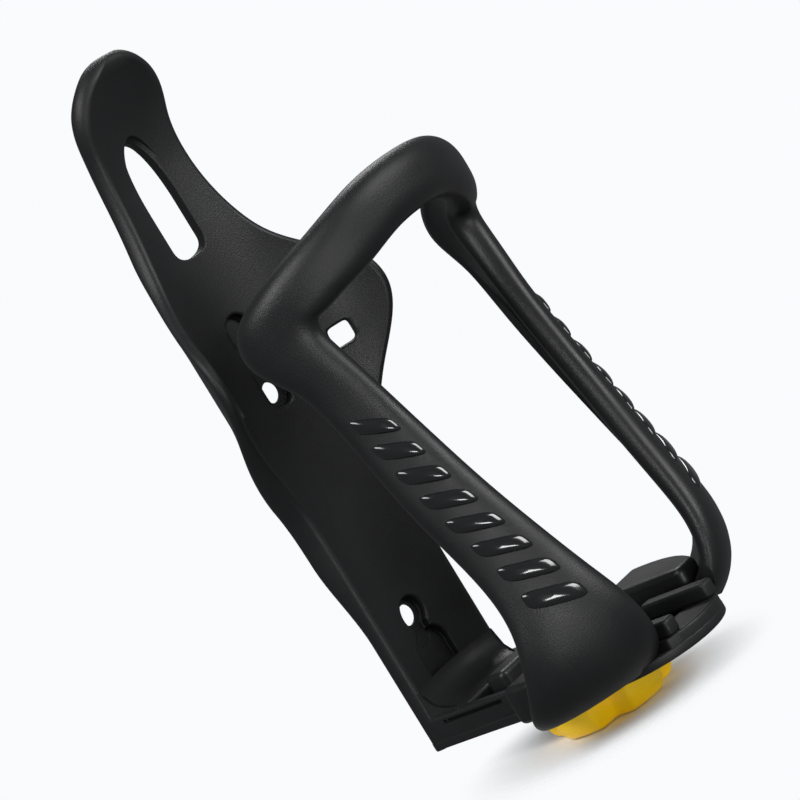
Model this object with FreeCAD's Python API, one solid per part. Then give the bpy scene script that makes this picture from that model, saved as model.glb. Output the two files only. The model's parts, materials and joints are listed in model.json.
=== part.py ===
"""Adjustable bottle cage: a moulded back plate and base, a front loop that slides in the base,
and a knob under the base whose small gear drives a rack on the loop.

Millimetres. X is across the cage, -Y points forward from the frame to the bottle, +Z is up.
The origin is on the mounting face, midway between the two frame bolts.
Forward distances below are called "fwd" and are measured from the mounting face, so y = -fwd.
"""
import FreeCAD, Part
import math
import os

V = FreeCAD.Vector

# ---- driving dimensions ------------------------------------------------------------------
bolt_spacing = 64.0            # frame bosses, centre to centre
bolt_hole_r = 2.75             # clears an M5 bolt
bolt_recess_r = 4.4            # room for the bolt head
bolt_recess_depth = 1.2
upper_recess_top = 21.0        # the upper head recess runs this far above its hole

bottle_max = 73.5              # widest bottle
bottle_min = 63.5              # narrowest bottle
bottle_set = 66.0              # bottle size that the loop is set to at rest
bottle_clearance = 0.5         # between the widest bottle and the back plate
plate_t = 3.0                  # back plate wall

total_top = 122.5              # top of the head above the origin
base_bottom = -62.0            # underside of the base
lower_half_width = 17.6        # back plate beside the lower bolt
tongue_half_width = 14.2
ear_half_width = 34.2
ear_z = 44.0                   # height of the ears' widest point
tongue_foot_z = 66.0
lower_top_z = 6.0              # above this the plate spreads into the ears
edge_rib_w = 3.6               # ribs down the edges of the lower plate
window_half_w = 3.2            # square window in each ear
window_half_h = 3.8
window_angle = 37.0            # its direction round the plate's hollow
window_z = 34.6
tongue_slot_half = 6.2
strip_half = 8.0               # flat strip down the back of the plate
strip_over = 12.0              # how far it runs above the upper bolt
head_reach = 19.0              # how far forward the head curls

floor_t = 2.5                  # base floor under the slider
tray_h = 8.0                   # rear block of the base
nose_h = 5.0                   # front of the base
nose_r = 18.95
nose_fwd = 64.0                # centre of the round nose
bar_x = 9.0                    # hold-down bars over the front of the slider
bar_r = 2.2
bar_start_fwd = 60.0
rail_t = 3.2                   # side walls that guide the slider
rail_end_fwd = 41.0
tray_front_fwd = 17.5          # where the rear block ends and the slider's trough starts

slide_gap = 0.2                # clearance round the slider
slider_rear_fwd = 24.0
slider_front_fwd = 63.0
slider_h = 4.8
slider_front_h = 2.0

arm_t = 8.6                    # wall-to-wall thickness of the arms, across the band
arm_w = 18.0                   # width of the arms
hoop_t = 9.4
hoop_h = 13.2
hoop_r = 41.7                  # centre line of the hoop in plan
hoop_front_z = 59.6            # height of the hoop's centre line at the front
elbow_z = 44.8
elbow_angle = 72.0             # where the hoop ends, degrees from the front
runner_h = 10.5                # feet of the loop beside the base
runner_r = 31.0                # plan radius of the feet's outer faces
runner_fwd = 48.0
runner_front = 0.78            # the runners end at this part of their radius ahead of its centre
skirt_gap = 0.45               # between the base and the parts of the feet that hang down outside it
skirt_rear_fwd = 45.5
skirt_lift = 0.8               # from the base's underside up to theirs

gear_teeth = 12
gear_module = 1.0
gear_h = 3.4
gear_backlash = 0.16           # taken off each tooth's thickness
pressure_angle = 20.0
hub_r = 4.4
hub_clearance = 0.08           # running fit of the hub in the floor
knob_fwd = 44.3                # axis of the knob
knob_r = 17.6
knob_flange_t = 2.2
knob_h = 9.0
knob_gap = 0.7                 # between base and knob, filled by the washers
screw_r = 1.5
screw_head_r = 2.9
screw_head_h = 1.8
screw_len = 9.0
washer_t = 0.5
key_flat = 3.4                 # half distance between the hub's two flats
key_clearance = 0.05
key_h = 3.6
screw_washer_r = 3.8
thrust_washer_r = 9.0
recess_depth = 5.0             # from the knob's top down to the seat of the screw's washer
lobe_count = 5
lobe_phase = 70.0              # direction of the first finger scallop, degrees
lobe_cut_r = 6.6               # radius of a scallop
lobe_cut_out = 3.2             # its centre lies this far outside the knob

# ---- derived ------------------------------------------------------------------------------
bottle_fwd = plate_t + bottle_clearance + bottle_max / 2
inner_r = bottle_max / 2 + bottle_clearance
outer_r = inner_r + plate_t
floor_top = base_bottom + floor_t
tray_top = base_bottom + tray_h
nose_top = base_bottom + nose_h
slider_z = floor_top + slide_gap
slider_top = slider_z + slider_h
rail_inner = lower_half_width - rail_t
slider_half = rail_inner - slide_gap
back_travel = bottle_set - bottle_min
front_travel = bottle_max - bottle_set
gear_r = gear_teeth * gear_module / 2
hoop_front_fwd = plate_t + bottle_set + bottle_clearance + hoop_t / 2
hoop_fwd = hoop_front_fwd - hoop_r
knob_top = base_bottom - knob_gap
knob_bottom = knob_top - knob_h
gear_z = slider_z + 0.1
key_top = knob_top
key_bottom = knob_top - key_h
recess_top = knob_top - recess_depth
skirt_bottom = base_bottom + skirt_lift
skirt_inner = max(nose_r, lower_half_width) + skirt_gap


def vec(x, fwd, z):
    """A point given as across, forward, up."""
    return V(x, -fwd, z)


def box(x0, x1, fwd0, fwd1, z0, z1):
    """A block between two forward distances."""
    return Part.makeBox(x1 - x0, fwd1 - fwd0, z1 - z0, V(x0, -fwd1, z0))


def rod(radius, z0, z1, fwd, x=0.0):
    """An upright cylinder."""
    return Part.makeCylinder(radius, z1 - z0, V(x, -fwd, z0))


def bore(radius, fwd0, fwd1, z):
    """A fore-and-aft cylinder on the centre line."""
    return Part.makeCylinder(radius, fwd1 - fwd0, V(0, -fwd0, z), V(0, -1, 0))


def smooth(points, closed=False):
    """A smooth curve through the points, as an edge."""
    curve = Part.BSplineCurve()
    curve.interpolate(points, PeriodicFlag=closed)
    return curve.toShape()


def mirrored(shape):
    """The same shape on the other side of the cage."""
    return shape.mirror(V(0, 0, 0), V(1, 0, 0))


def slot_cut(half_width, z0, z1, fwd0, fwd1):
    """An upright slot with round ends, cut fore and aft."""
    middle = box(-half_width, half_width, fwd0, fwd1, z0 + half_width, z1 - half_width)
    low = bore(half_width, fwd0, fwd1, z0 + half_width)
    high = bore(half_width, fwd0, fwd1, z1 - half_width)
    return middle.fuse([low, high])


# ---- back plate ------------------------------------------------------------------------------
def plate_outline():
    """Front view of the back plate: straight foot, round ears, narrow tongue, round head."""
    half = [
        (lower_half_width, lower_top_z),
        (lower_half_width + 5.2, lower_top_z + 10.0),
        (ear_half_width - 4.0, ear_z - 18.0),
        (ear_half_width - 0.3, ear_z - 5.0),
        (ear_half_width - 0.8, ear_z + 6.0),
        (ear_half_width - 8.5, ear_z + 15.5),
        (tongue_half_width + 4.3, tongue_foot_z + 8.0),
        (tongue_half_width + 1.0, tongue_foot_z + 18.0),
        (tongue_half_width, tongue_foot_z + 30.0),
        (tongue_half_width + 0.6, total_top - 14.0),
    ]
    right = [V(x, 0, z) for x, z in half]
    left = [V(-x, 0, z) for x, z in reversed(half)]
    side_r = smooth(right)
    side_l = smooth(left)
    head = Part.Arc(right[-1], V(0, 0, total_top), left[0]).toShape()
    foot_l = Part.makeLine(left[-1], V(-lower_half_width, 0, base_bottom))
    foot = Part.makeLine(V(-lower_half_width, 0, base_bottom), V(lower_half_width, 0, base_bottom))
    foot_r = Part.makeLine(V(lower_half_width, 0, base_bottom), right[0])
    wire = Part.Wire([side_r, head, side_l, foot_l, foot, foot_r])
    prism = Part.Face(wire).extrude(V(0, -(head_reach + 30.0), 0))
    prism.translate(V(0, 5.0, 0))
    return prism


def curled_head():
    """Side view of the head, a band that leaves the tongue and curls forward to a thick lip."""
    start = total_top - 40.0
    back = [(0.3, start), (0.0, start + 14.0), (1.6, start + 26.5), (6.0, start + 36.0),
            (12.0, total_top), (head_reach - 2.2, total_top - 2.2)]
    front = [(head_reach, total_top - 8.0), (head_reach - 3.2, total_top - 13.0),
             (11.0, total_top - 15.5), (7.2, total_top - 22.0), (6.0, total_top - 31.0), (5.4, start)]
    back_pts = [vec(0, f, z) for f, z in back]
    front_pts = [vec(0, f, z) for f, z in front]
    tip = smooth([back_pts[-1], vec(0, head_reach - 0.3, total_top - 5.0), front_pts[0]])
    wire = Part.Wire([smooth(back_pts), tip, smooth(front_pts), Part.makeLine(front_pts[-1], back_pts[0])])
    width = tongue_half_width + 1.6
    band = Part.Face(wire).extrude(V(2 * width, 0, 0))
    band.translate(V(-width, 0, 0))
    # in plan the lip is round, so its corners fall back from the middle
    plan = rod(width + 6.2, start, total_top + 1.0, head_reach - width - 6.2)
    return band.common(plan.fuse(box(-width, width, -1.0, head_reach - width, start, total_top + 1.0)))


def back_plate():
    """The concave plate with its edge ribs, head and tongue."""
    shell = rod(outer_r, base_bottom, total_top - 30.0, bottle_fwd)
    shell = shell.cut(rod(inner_r, base_bottom - 1, total_top, bottle_fwd))
    shell = shell.common(box(-60, 60, -1, bottle_fwd - 12.0, base_bottom, total_top))
    rib = box(lower_half_width - edge_rib_w, lower_half_width, 1.6, 7.0, base_bottom, lower_top_z + 12.0)
    rib = rib.cut(rod(inner_r, base_bottom - 1, total_top, bottle_fwd))
    # a flat strip down the back is the face that meets the frame
    strip = box(-strip_half, strip_half, 0.0, plate_t + 1.0, base_bottom, bolt_spacing / 2 + strip_over)
    strip = strip.cut(rod(inner_r, base_bottom - 1, total_top, bottle_fwd))
    whole = shell.fuse([rib, mirrored(rib), strip, curled_head()])
    return whole.common(plate_outline())


def plate_cuts():
    """Bolt holes with head recesses, the tongue's slot, the ear windows and the foot's keyhole."""
    low = -bolt_spacing / 2
    high = bolt_spacing / 2
    face = plate_t + 3.0
    floor = plate_t - bolt_recess_depth
    cuts = [bore(bolt_hole_r, -2, face, low), bore(bolt_hole_r, -2, face, high)]
    cuts.append(slot_cut(bolt_recess_r, high - bolt_recess_r, high + upper_recess_top, floor, face))
    cuts.append(bore(bolt_recess_r, floor, face, low))
    cuts.append(box(-3.4, 3.4, floor, face, low - 8.0, low))
    cuts.append(slot_cut(6.4, low - 20.0, low - 3.6, floor, face + 4.0))
    cuts.append(slot_cut(tongue_slot_half, tongue_foot_z + 4.0, total_top - 18.8, -3, 14))
    for side in (-1, 1):
        window = box(-window_half_w, window_half_w, -4, 12, -window_half_h, window_half_h)
        window.translate(V(0, bottle_fwd - outer_r, window_z))
        window.rotate(V(0, 0, 0), V(0, 0, 1), side * window_angle)
        window.translate(V(0, -bottle_fwd, 0))
        cuts.append(window)
    return cuts


# ---- base ----------------------------------------------------------------------------------------
def base():
    """Rear block, side rails, floor and round nose, with the knob's bore and two hold-down bars."""
    back_cut = rod(outer_r - 0.01, base_bottom, tray_top, bottle_fwd)
    slab = box(-lower_half_width, lower_half_width, 3.0, nose_fwd, base_bottom, floor_top)
    nose = rod(nose_r, base_bottom, nose_top, nose_fwd)
    block = box(-lower_half_width, lower_half_width, 3.0, tray_front_fwd, base_bottom, tray_top)
    rail = box(rail_inner, lower_half_width, 3.0, rail_end_fwd, base_bottom, tray_top)
    body = slab.fuse([nose, block, rail, mirrored(rail)]).common(back_cut.fuse(nose).fuse(
        box(-40, 40, bottle_fwd, 100, base_bottom, tray_top)))
    # trough for the slider, open at both sides ahead of the rails
    front = slider_front_fwd + front_travel + 0.5
    trough = box(-slider_half - slide_gap, slider_half + slide_gap, tray_front_fwd, front, floor_top, 0)
    side = box(-40, 40, rail_end_fwd, front, floor_top, 0)
    body = body.cut([trough, side])
    body = body.cut(feet_path())
    for x in (-bar_x, bar_x):
        bar_end = nose_fwd + math.sqrt(nose_r ** 2 - (bar_x + bar_r) ** 2)
        bar = Part.makeCylinder(bar_r, bar_end - bar_start_fwd, vec(x, bar_start_fwd, nose_top + 1.4), V(0, -1, 0))
        under = box(x - 4, x + 4, 50.0, front, floor_top, slider_z + slider_front_h + slide_gap)
        body = body.fuse(bar.cut(under))
    body = body.cut(rod(hub_r + hub_clearance, base_bottom - 1, floor_top + 1, knob_fwd))
    # shallow grooves beside the rails in the rear block
    for side_x in (-1, 1):
        x = side_x * (rail_inner - 0.4)
        body = body.cut(box(x - 0.5, x + 0.5, 10.0, tray_front_fwd, tray_top - 2.0, tray_top + 1))
    return body


def feet_path():
    """Space in the nose that the loop's feet sweep between their two limits."""
    zone = foot_blank(slide_gap)
    moved = zone.copy()
    moved.translate(V(0, -front_travel, 0))
    middle = zone.copy()
    middle.translate(V(0, -front_travel / 2, 0))
    back = zone.copy()
    back.translate(V(0, back_travel, 0))
    return [zone, middle, moved, back]


# ---- loop ----------------------------------------------------------------------------------------
def foot_blank(grow):
    """One pair of runners: the part of a disc beside the slider, from the rails to the arms."""
    z0 = slider_z - grow / 2
    disc = rod(runner_r + grow, z0, slider_z + runner_h + grow, runner_fwd)
    zone = box(slider_half - 0.01 - grow, 60, rail_end_fwd + back_travel + slide_gap - grow,
               runner_fwd + runner_r * runner_front + grow, z0, slider_z + runner_h + grow)
    one = disc.common(zone)
    return one.fuse(mirrored(one))


def skirts():
    """The parts of the feet that hang down outside the base."""
    disc = rod(runner_r, skirt_bottom, slider_z + 1.0, runner_fwd)
    one = disc.common(box(skirt_inner, 60, skirt_rear_fwd, runner_fwd + runner_r, skirt_bottom, slider_z + 1.0))
    return [one, mirrored(one)]


def section(centre, outward, along, width, thick):
    """A band section: a flattened oval, wide across the path and thin outward."""
    side = outward.cross(along)
    side.normalize()
    out = along.cross(side)
    out.normalize()
    points = []
    count = 16
    for i in range(count):
        a = 2 * math.pi * i / count
        c = math.copysign(abs(math.cos(a)) ** 0.7, math.cos(a))
        s = math.copysign(abs(math.sin(a)) ** 0.7, math.sin(a))
        points.append(centre + side * (c * width / 2) + out * (s * thick / 2))
    return Part.Wire([smooth(points, True)])


def arm():
    """One arm, from its foot up to the elbow."""
    path = [(25.6, 72.0, slider_z + 1.0), (27.0, 72.4, -40.0), (30.6, 65.4, -14.0),
            (32.8, 60.0, 4.0), (35.0, 54.6, 24.0), (37.8, 50.0, elbow_z - 5.0), (38.6, 48.6, elbow_z + 2.0)]
    widths = [24.0, arm_w + 1.6, arm_w, arm_w - 1.0, arm_w - 1.6, hoop_h + 1.6, hoop_h + 1.0]
    thicks = [arm_t, arm_t, arm_t, arm_t, arm_t, hoop_t, hoop_t]
    points = [vec(*p) for p in path]
    wires = []
    for i, point in enumerate(points):
        ahead = points[min(i + 1, len(points) - 1)]
        behind = points[max(i - 1, 0)]
        outward = point - vec(0, runner_fwd - 4.0, point.z)
        wires.append(section(point, outward, (ahead - behind).normalize(), widths[i], thicks[i]))
    return Part.makeLoft(wires, True, False)


def hoop_point(t):
    """A point of the hoop's centre line, t degrees round from the front."""
    a = math.radians(t)
    lift = (hoop_front_z - elbow_z) * (math.cos(a) - math.cos(math.radians(elbow_angle)))
    z = elbow_z + lift / (1 - math.cos(math.radians(elbow_angle)))
    return vec(hoop_r * math.sin(a), hoop_fwd + hoop_r * math.cos(a), z)


def hoop():
    """The hoop round the bottle's front, from elbow to elbow."""
    wires = []
    steps = 12
    for i in range(steps + 1):
        t = -elbow_angle + 2 * elbow_angle * i / steps
        along = hoop_point(t + 1) - hoop_point(t - 1)
        outward = hoop_point(t) - vec(0, hoop_fwd, hoop_point(t).z)
        wires.append(section(hoop_point(t), outward, along.normalize(), hoop_h, hoop_t))
    return Part.makeLoft(wires, True, False)


def elbow():
    """A round knuckle where the arm turns into the hoop."""
    point = hoop_point(elbow_angle)
    ball = Part.makeSphere(hoop_h / 2 + 0.4, point + V(0.0, 1.0, 0))
    limit = rod(hoop_r + hoop_t / 2 + 0.6, -20, 90, hoop_fwd)
    hollow = rod(hoop_r - hoop_t / 2 - 0.6, -20, 90, hoop_fwd)
    return ball.common(limit).cut(hollow)


def rack_window():
    """Space round the gear inside the slider, with the rack's teeth left standing on its +X side."""
    x0 = -(gear_r + gear_module + 0.6)
    depth = gear_r + 1.25 * gear_module
    f0 = knob_fwd - gear_r - gear_module - 0.6 - front_travel
    f1 = knob_fwd + gear_r + gear_module + 0.6 + back_travel
    window = box(x0, depth, f0, f1, slider_z - 1, gear_z + gear_h + 0.3)
    pitch = math.pi * gear_module
    tan_a = math.tan(math.radians(pressure_angle))
    half = pitch / 4 - gear_backlash / 2
    first = math.ceil((f0 - knob_fwd) / pitch - 0.5)
    last = math.floor((f1 - knob_fwd) / pitch - 0.5)
    for i in range(first, last + 1):
        mid = knob_fwd + (i + 0.5) * pitch
        root = half + 1.25 * gear_module * tan_a
        tip = half - gear_module * tan_a
        outline = [vec(depth + 1, mid - root, 0), vec(depth, mid - root, 0), vec(gear_r - gear_module, mid - tip, 0),
                   vec(gear_r - gear_module, mid + tip, 0), vec(depth, mid + root, 0), vec(depth + 1, mid + root, 0)]
        tooth = Part.Face(Part.makePolygon(outline + outline[:1])).extrude(V(0, 0, 40))
        tooth.translate(V(0, 0, slider_z - 2))
        window = window.cut(tooth)
    return window


def slider():
    """The plate between the feet, thick behind round the gear and thin in front under the bars."""
    thick = box(-slider_half, slider_half, slider_rear_fwd, knob_fwd + 12.5, slider_z, slider_top)
    thin = box(-slider_half - 4, slider_half + 4, rail_end_fwd + back_travel + slide_gap, slider_front_fwd,
               slider_z, slider_z + slider_front_h)
    plate = thick.fuse(thin)
    plate = plate.cut(rack_window())
    # grooves in the thick part let the hold-down bars pass when the loop is forward
    for x in (-bar_x, bar_x):
        groove_start = bar_start_fwd - front_travel - 0.5
        plate = plate.cut(box(x - bar_r - 0.4, x + bar_r + 0.4, groove_start, slider_front_fwd + 1,
                              slider_z + slider_front_h, slider_top + 1))
    return plate


def front_loop():
    """Hoop, elbows, arms, feet and slider in one moulding."""
    one_arm = arm()
    one_elbow = elbow()
    limit = box(-80, 80, -20, 120, slider_z, 120)
    whole = hoop().fuse([one_arm, mirrored(one_arm), one_elbow, mirrored(one_elbow), foot_blank(0.0), slider()])
    whole = whole.common(limit).fuse(skirts())
    # the inside of the arms' feet clears the slider's bars
    clear = box(-slider_half, slider_half, slider_front_fwd, 120, slider_z - 1, slider_z + runner_h + 30)
    return whole.cut(clear).removeSplitter()


# ---- adjuster --------------------------------------------------------------------------------------
def involute(radius, roll):
    """A point of the involute of a circle, unrolled by an angle."""
    return (radius * (math.cos(roll) + roll * math.sin(roll)), radius * (math.sin(roll) - roll * math.cos(roll)))


def gear_blank():
    """The gear's toothed rim, teeth in step with the rack."""
    base_r = gear_r * math.cos(math.radians(pressure_angle))
    tip_r = gear_r + gear_module - 0.05
    root_r = gear_r - 1.25 * gear_module
    inv = math.tan(math.radians(pressure_angle)) - math.radians(pressure_angle)
    half = (math.pi * gear_module / 2 - gear_backlash) / (2 * gear_r) + inv
    last_roll = math.sqrt((tip_r / base_r) ** 2 - 1)
    body = Part.makeCylinder(root_r, gear_h)
    for n in range(gear_teeth):
        mid = 2 * math.pi * n / gear_teeth
        flank = []
        for k in range(6):
            x, y = involute(base_r, last_roll * k / 5)
            turn = mid - half
            flank.append(V(x * math.cos(turn) - y * math.sin(turn), x * math.sin(turn) + y * math.cos(turn), 0))
        other = []
        for point in flank:
            along = V(math.cos(mid), math.sin(mid), 0)
            other.append(along * (2 * point.dot(along)) - point)
        foot_a = V(flank[0]).normalize() * (root_r - 0.3)
        foot_b = V(other[0]).normalize() * (root_r - 0.3)
        tip_mid = V(math.cos(mid), math.sin(mid), 0) * tip_r
        edges = [Part.makeLine(foot_a, flank[0]), smooth(flank), Part.Arc(flank[-1], tip_mid, other[-1]).toShape(),
                 smooth(other[::-1]), Part.makeLine(other[0], foot_b), Part.makeLine(foot_b, foot_a)]
        body = body.fuse(Part.Face(Part.Wire(edges)).extrude(V(0, 0, gear_h)))
    return body


def drive_gear():
    """Gear with a hub that passes down through the floor and keys into the knob."""
    blank = gear_blank()
    blank.translate(V(0, -knob_fwd, gear_z))
    hub = rod(hub_r, key_top, gear_z + 0.5, knob_fwd)
    key = rod(hub_r, key_bottom, key_top, knob_fwd).common(
        box(-key_flat, key_flat, knob_fwd - 10, knob_fwd + 10, key_bottom, key_top))
    return blank.fuse([hub, key]).cut(rod(screw_r, key_bottom - 1, gear_z + gear_h - 0.8, knob_fwd)).removeSplitter()


def knob():
    """Flange with five finger lobes below it, a keyed socket above and a recess for the screw below."""
    flange = rod(knob_r, knob_top - knob_flange_t, knob_top, knob_fwd)
    grip = rod(knob_r - 0.4, knob_bottom, knob_top - 0.5, knob_fwd)
    for i in range(lobe_count):
        a = math.radians(lobe_phase + 360.0 * i / lobe_count)
        x = (knob_r + lobe_cut_out) * math.cos(a)
        fwd = knob_fwd + (knob_r + lobe_cut_out) * math.sin(a)
        grip = grip.cut(rod(lobe_cut_r, knob_bottom - 1, knob_top - knob_flange_t, fwd, x))
    whole = flange.fuse(grip)
    socket = rod(hub_r + key_clearance, key_bottom - 0.4, knob_top + 1, knob_fwd).common(
        box(-key_flat - key_clearance, key_flat + key_clearance, knob_fwd - 10, knob_fwd + 10,
            key_bottom - 0.4, knob_top + 1))
    whole = whole.cut(socket)
    whole = whole.cut(rod(screw_r + 0.2, knob_bottom - 1, knob_top, knob_fwd))
    whole = whole.cut(rod(screw_washer_r + 0.4, knob_bottom - 1, recess_top, knob_fwd))
    return whole.removeSplitter()


def knob_screw():
    """Pan-head screw with a hexagon socket, driven up from below into the gear's hub."""
    seat = recess_top - washer_t
    head = rod(screw_head_r, seat - screw_head_h, seat, knob_fwd)
    shank = rod(screw_r, seat, seat + screw_len, knob_fwd)
    corners = []
    for i in range(7):
        a = math.radians(60.0 * i)
        corners.append(V(1.15 * math.cos(a), -knob_fwd + 1.15 * math.sin(a), seat - screw_head_h))
    socket = Part.Face(Part.makePolygon(corners)).extrude(V(0, 0, 1.1))
    return head.fuse(shank).cut(socket).removeSplitter()


def ring(outer, inner, z0, thick):
    """A flat washer about the knob's axis."""
    return rod(outer, z0, z0 + thick, knob_fwd).cut(rod(inner, z0 - 1, z0 + thick + 1, knob_fwd))


# ---- output ------------------------------------------------------------------------------------------
def cage_body():
    """Back plate and base as one moulding."""
    whole = back_plate().fuse(base())
    return whole.cut(plate_cuts()).removeSplitter()


def main():
    os.makedirs("parts", exist_ok=True)
    pieces = {
        "cage_body": cage_body(),
        "front_loop": front_loop(),
        "drive_gear": drive_gear(),
        "adjuster_knob": knob(),
        "knob_screw": knob_screw(),
        "screw_washer": ring(screw_washer_r, screw_r + 0.2, recess_top - washer_t, washer_t),
        "thrust_washer": ring(thrust_washer_r, hub_r + 0.3, base_bottom - knob_gap, knob_gap - 0.1),
    }
    for name, shape in pieces.items():
        solids = shape.Solids
        print(name, "solids", len(solids), "valid", shape.isValid(), "volume", round(shape.Volume))
        shape.exportStep("parts/" + name + ".step")


main()
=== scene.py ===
"""Looks of an adjustable bottle cage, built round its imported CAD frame.

The cage is three mouldings: the body (back plate and base), the front loop and the knob. Each is a
surface computed here with numpy. Lengths in the functions are millimetres: x across the cage, "fwd"
forward from the mounting face towards the bottle (so y = -fwd), z up. The gear, screw and washers
keep their CAD meshes and only get finishes.
"""
import json
import math

import bpy
import numpy as np
from mathutils import Matrix, Vector


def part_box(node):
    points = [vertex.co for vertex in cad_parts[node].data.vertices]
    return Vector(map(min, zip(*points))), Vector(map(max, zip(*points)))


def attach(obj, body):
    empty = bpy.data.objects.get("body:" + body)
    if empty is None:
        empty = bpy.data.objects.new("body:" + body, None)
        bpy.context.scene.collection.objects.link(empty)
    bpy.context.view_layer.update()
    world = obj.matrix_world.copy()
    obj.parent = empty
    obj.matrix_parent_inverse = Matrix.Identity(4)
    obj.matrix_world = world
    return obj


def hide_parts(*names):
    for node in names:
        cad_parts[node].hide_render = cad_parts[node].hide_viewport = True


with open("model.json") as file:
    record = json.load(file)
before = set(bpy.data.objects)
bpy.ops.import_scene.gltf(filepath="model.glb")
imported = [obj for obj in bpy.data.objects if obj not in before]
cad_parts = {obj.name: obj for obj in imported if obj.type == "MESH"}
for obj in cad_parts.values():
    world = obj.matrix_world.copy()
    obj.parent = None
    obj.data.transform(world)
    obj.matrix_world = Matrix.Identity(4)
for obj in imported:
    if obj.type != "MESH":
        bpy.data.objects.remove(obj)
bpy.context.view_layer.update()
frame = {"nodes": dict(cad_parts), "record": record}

bl_info = {
    "name": "Bottle cage",
    "version": (1, 0, 0),
    "blender": (4, 5, 0),
    "location": "View3D > Sidebar > Bottle cage",
    "description": "Builds an adjustable moulded bottle cage",
    "category": "Mesh",
}

MM = 0.001
# places that the CAD's joints and mounts fix
JOINTS = {j["name"]: j for j in frame["record"]["behaviour"]["joints"]}
MOUNTS = {m["name"]: m for m in frame["record"]["mounts"]}
BOLT_Z = MOUNTS["frame_bolts"]["dims"]["spacing_y_mm"] / 2
BOLT_R = MOUNTS["frame_bolts"]["dims"]["hole_r_mm"]
KNOB_FWD = -JOINTS["knob_turn"]["pos_m"][1] / MM
BACK_TRAVEL = -JOINTS["loop_slide"]["range_m"][0] / MM
BASE_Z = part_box("cage_body")[0][2] / MM    # underside of the base
KNOB_LOW, KNOB_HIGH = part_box("adjuster_knob")
KNOB_TOP = KNOB_HIGH[2] / MM
KNOB_BOTTOM = KNOB_LOW[2] / MM
KNOB_R = (KNOB_HIGH[0] - KNOB_LOW[0]) / 2 / MM


# ---- settings a user would change ---------------------------------------------------------------------

class PlateSettings(bpy.types.PropertyGroup):
    """Sizes of the back plate."""
    inner_r: bpy.props.FloatProperty(name="Hollow radius", description="Radius of the concave face, mm", default=37.25)
    wall: bpy.props.FloatProperty(name="Wall", description="Thickness of the plate, mm", default=3.0)
    lip_wall: bpy.props.FloatProperty(name="Lip wall", description="Thickness of the curled lip, mm", default=4.8)
    rib: bpy.props.FloatProperty(name="Edge rib", description="Height of the ribs down the edges, mm", default=3.9)


class LoopSettings(bpy.types.PropertyGroup):
    """Sizes of the front loop."""
    axis_fwd: bpy.props.FloatProperty(name="Hoop centre", description="From the frame to the hoop's centre, mm",
                                      default=33.0)
    arm_wall: bpy.props.FloatProperty(name="Arm thickness", description="Thickness of the arms, mm", default=7.4)
    hoop_wall: bpy.props.FloatProperty(name="Hoop thickness", description="Thickness of the hoop, mm", default=8.8)
    channel: bpy.props.FloatProperty(name="Inner channel", description="Depth of the channel inside the arms, mm",
                                     default=1.7)


class FinishSettings(bpy.types.PropertyGroup):
    """Colours of the mouldings."""
    black: bpy.props.FloatVectorProperty(name="Black", description="Colour of body and loop", subtype="COLOR",
                                         size=3, default=(0.0068, 0.0072, 0.0078))
    yellow: bpy.props.FloatVectorProperty(name="Yellow", description="Colour of the knob", subtype="COLOR",
                                          size=3, default=(1.0, 0.56, 0.0))


# ---- curves and meshes --------------------------------------------------------------------------------

def spline(knots, values, at):
    """Natural cubic spline through the values (one row each) at rising knots, read at "at"."""
    knots, values, at = (np.asarray(a, float) for a in (knots, values, at))
    flat = values.reshape(len(knots), -1)
    h = np.diff(knots)
    slope = np.diff(flat, axis=0) / h[:, None]
    system = np.eye(len(knots))
    right = np.zeros_like(flat)
    inner = np.arange(1, len(knots) - 1)
    system[inner, inner - 1] = h[:-1]
    system[inner, inner] = 2 * (h[:-1] + h[1:])
    system[inner, inner + 1] = h[1:]
    right[1:-1] = 6 * np.diff(slope, axis=0)
    bend = np.linalg.solve(system, right)
    k = np.clip(np.searchsorted(knots, at, side="right") - 1, 0, len(knots) - 2)
    a = ((knots[k + 1] - at) / h[k])[:, None]
    b = 1 - a
    low = a * flat[k] + (a ** 3 - a) * bend[k] * (h[k] ** 2)[:, None] / 6
    high = b * flat[k + 1] + (b ** 3 - b) * bend[k + 1] * (h[k] ** 2)[:, None] / 6
    return (low + high).reshape((len(at),) + values.shape[1:])


def smoothstep(low, high, x):
    """Rises smoothly from 0 at low to 1 at high: 3t^2 - 2t^3."""
    t = np.clip((x - low) / (high - low), 0.0, 1.0)
    return t * t * (3 - 2 * t)


def power(value, exponent):
    """Sign of the value times its size raised to the exponent, which squares off a circle."""
    return np.sign(value) * np.abs(value) ** exponent


def place(x, fwd, z):
    """Stacks across, forward and up into points of the row frame, still in millimetres."""
    return np.stack(np.broadcast_arrays(x, -np.asarray(fwd, float), z), axis=-1)


def tube(grid):
    """Points and faces of a closed surface: rows along the grid's first axis, each row a closed ring.
    The first and last rows are closed by a fan to their middle."""
    rows, ring = grid.shape[:2]
    points = grid.reshape(-1, 3)
    i, j = np.meshgrid(np.arange(rows - 1), np.arange(ring), indexing="ij")
    after = (j + 1) % ring
    quads = np.stack([i * ring + j, i * ring + after, (i + 1) * ring + after, (i + 1) * ring + j], -1).reshape(-1, 4)
    ends = np.stack([grid[0].mean(0), grid[-1].mean(0)])
    k = np.arange(ring)
    first = np.stack([np.full(ring, rows * ring), (k + 1) % ring, k], -1)
    last = np.stack([np.full(ring, rows * ring + 1), (rows - 1) * ring + k, (rows - 1) * ring + (k + 1) % ring], -1)
    return np.concatenate([points, ends]), quads, np.concatenate([first, last])


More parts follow.
